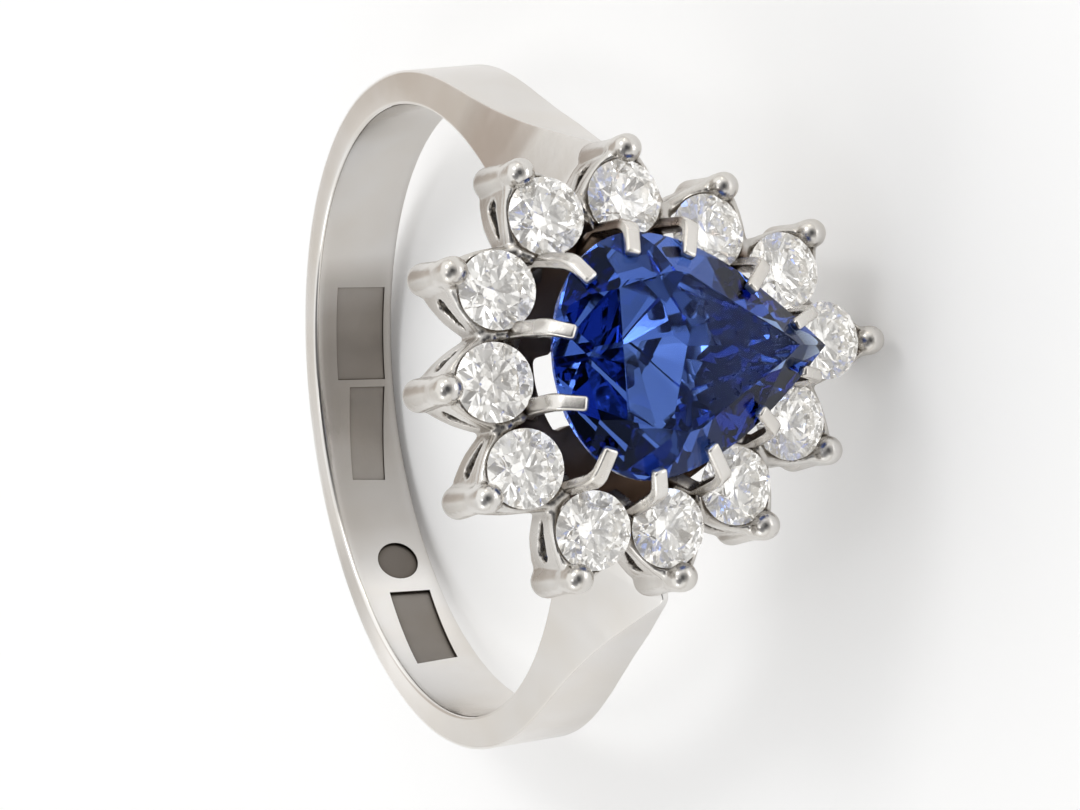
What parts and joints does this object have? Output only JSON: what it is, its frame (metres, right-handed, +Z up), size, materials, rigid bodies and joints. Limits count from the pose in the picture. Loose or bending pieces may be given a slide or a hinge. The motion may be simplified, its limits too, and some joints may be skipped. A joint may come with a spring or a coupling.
{
  "type": "cluster ring",
  "caption": "Finger ring with a pear-shaped blue centre stone in claws, inside a halo of round clear stones in scalloped petals, on a band that flares into pointed shoulders.",
  "frame": {"origin": "middle of the outline's box at the level of the surface it lies on", "axes": "+X from the back of the band towards the head, along the surface; +Y across the head; +Z up, with the finger's axis leaning back from it because the head props the ring up on its side"},
  "size_m": [0.0244, 0.0188, 0.0124],
  "materials": {
    "white_gold": "polished white gold with a rhodium-like shine",
    "sapphire": "faceted, royal blue",
    "diamond": "faceted, clear"
  },
  "bodies": {
    "root": {"band_and_head": "white_gold", "centre_stone": "sapphire", "halo_stone_01": "diamond", "halo_stone_02": "diamond", "halo_stone_03": "diamond", "halo_stone_04": "diamond", "halo_stone_05": "diamond", "halo_stone_06": "diamond", "halo_stone_07": "diamond", "halo_stone_08": "diamond", "halo_stone_09": "diamond", "halo_stone_10": "diamond", "halo_stone_11": "diamond", "halo_stone_12": "diamond"}
  },
  "joints": []
}
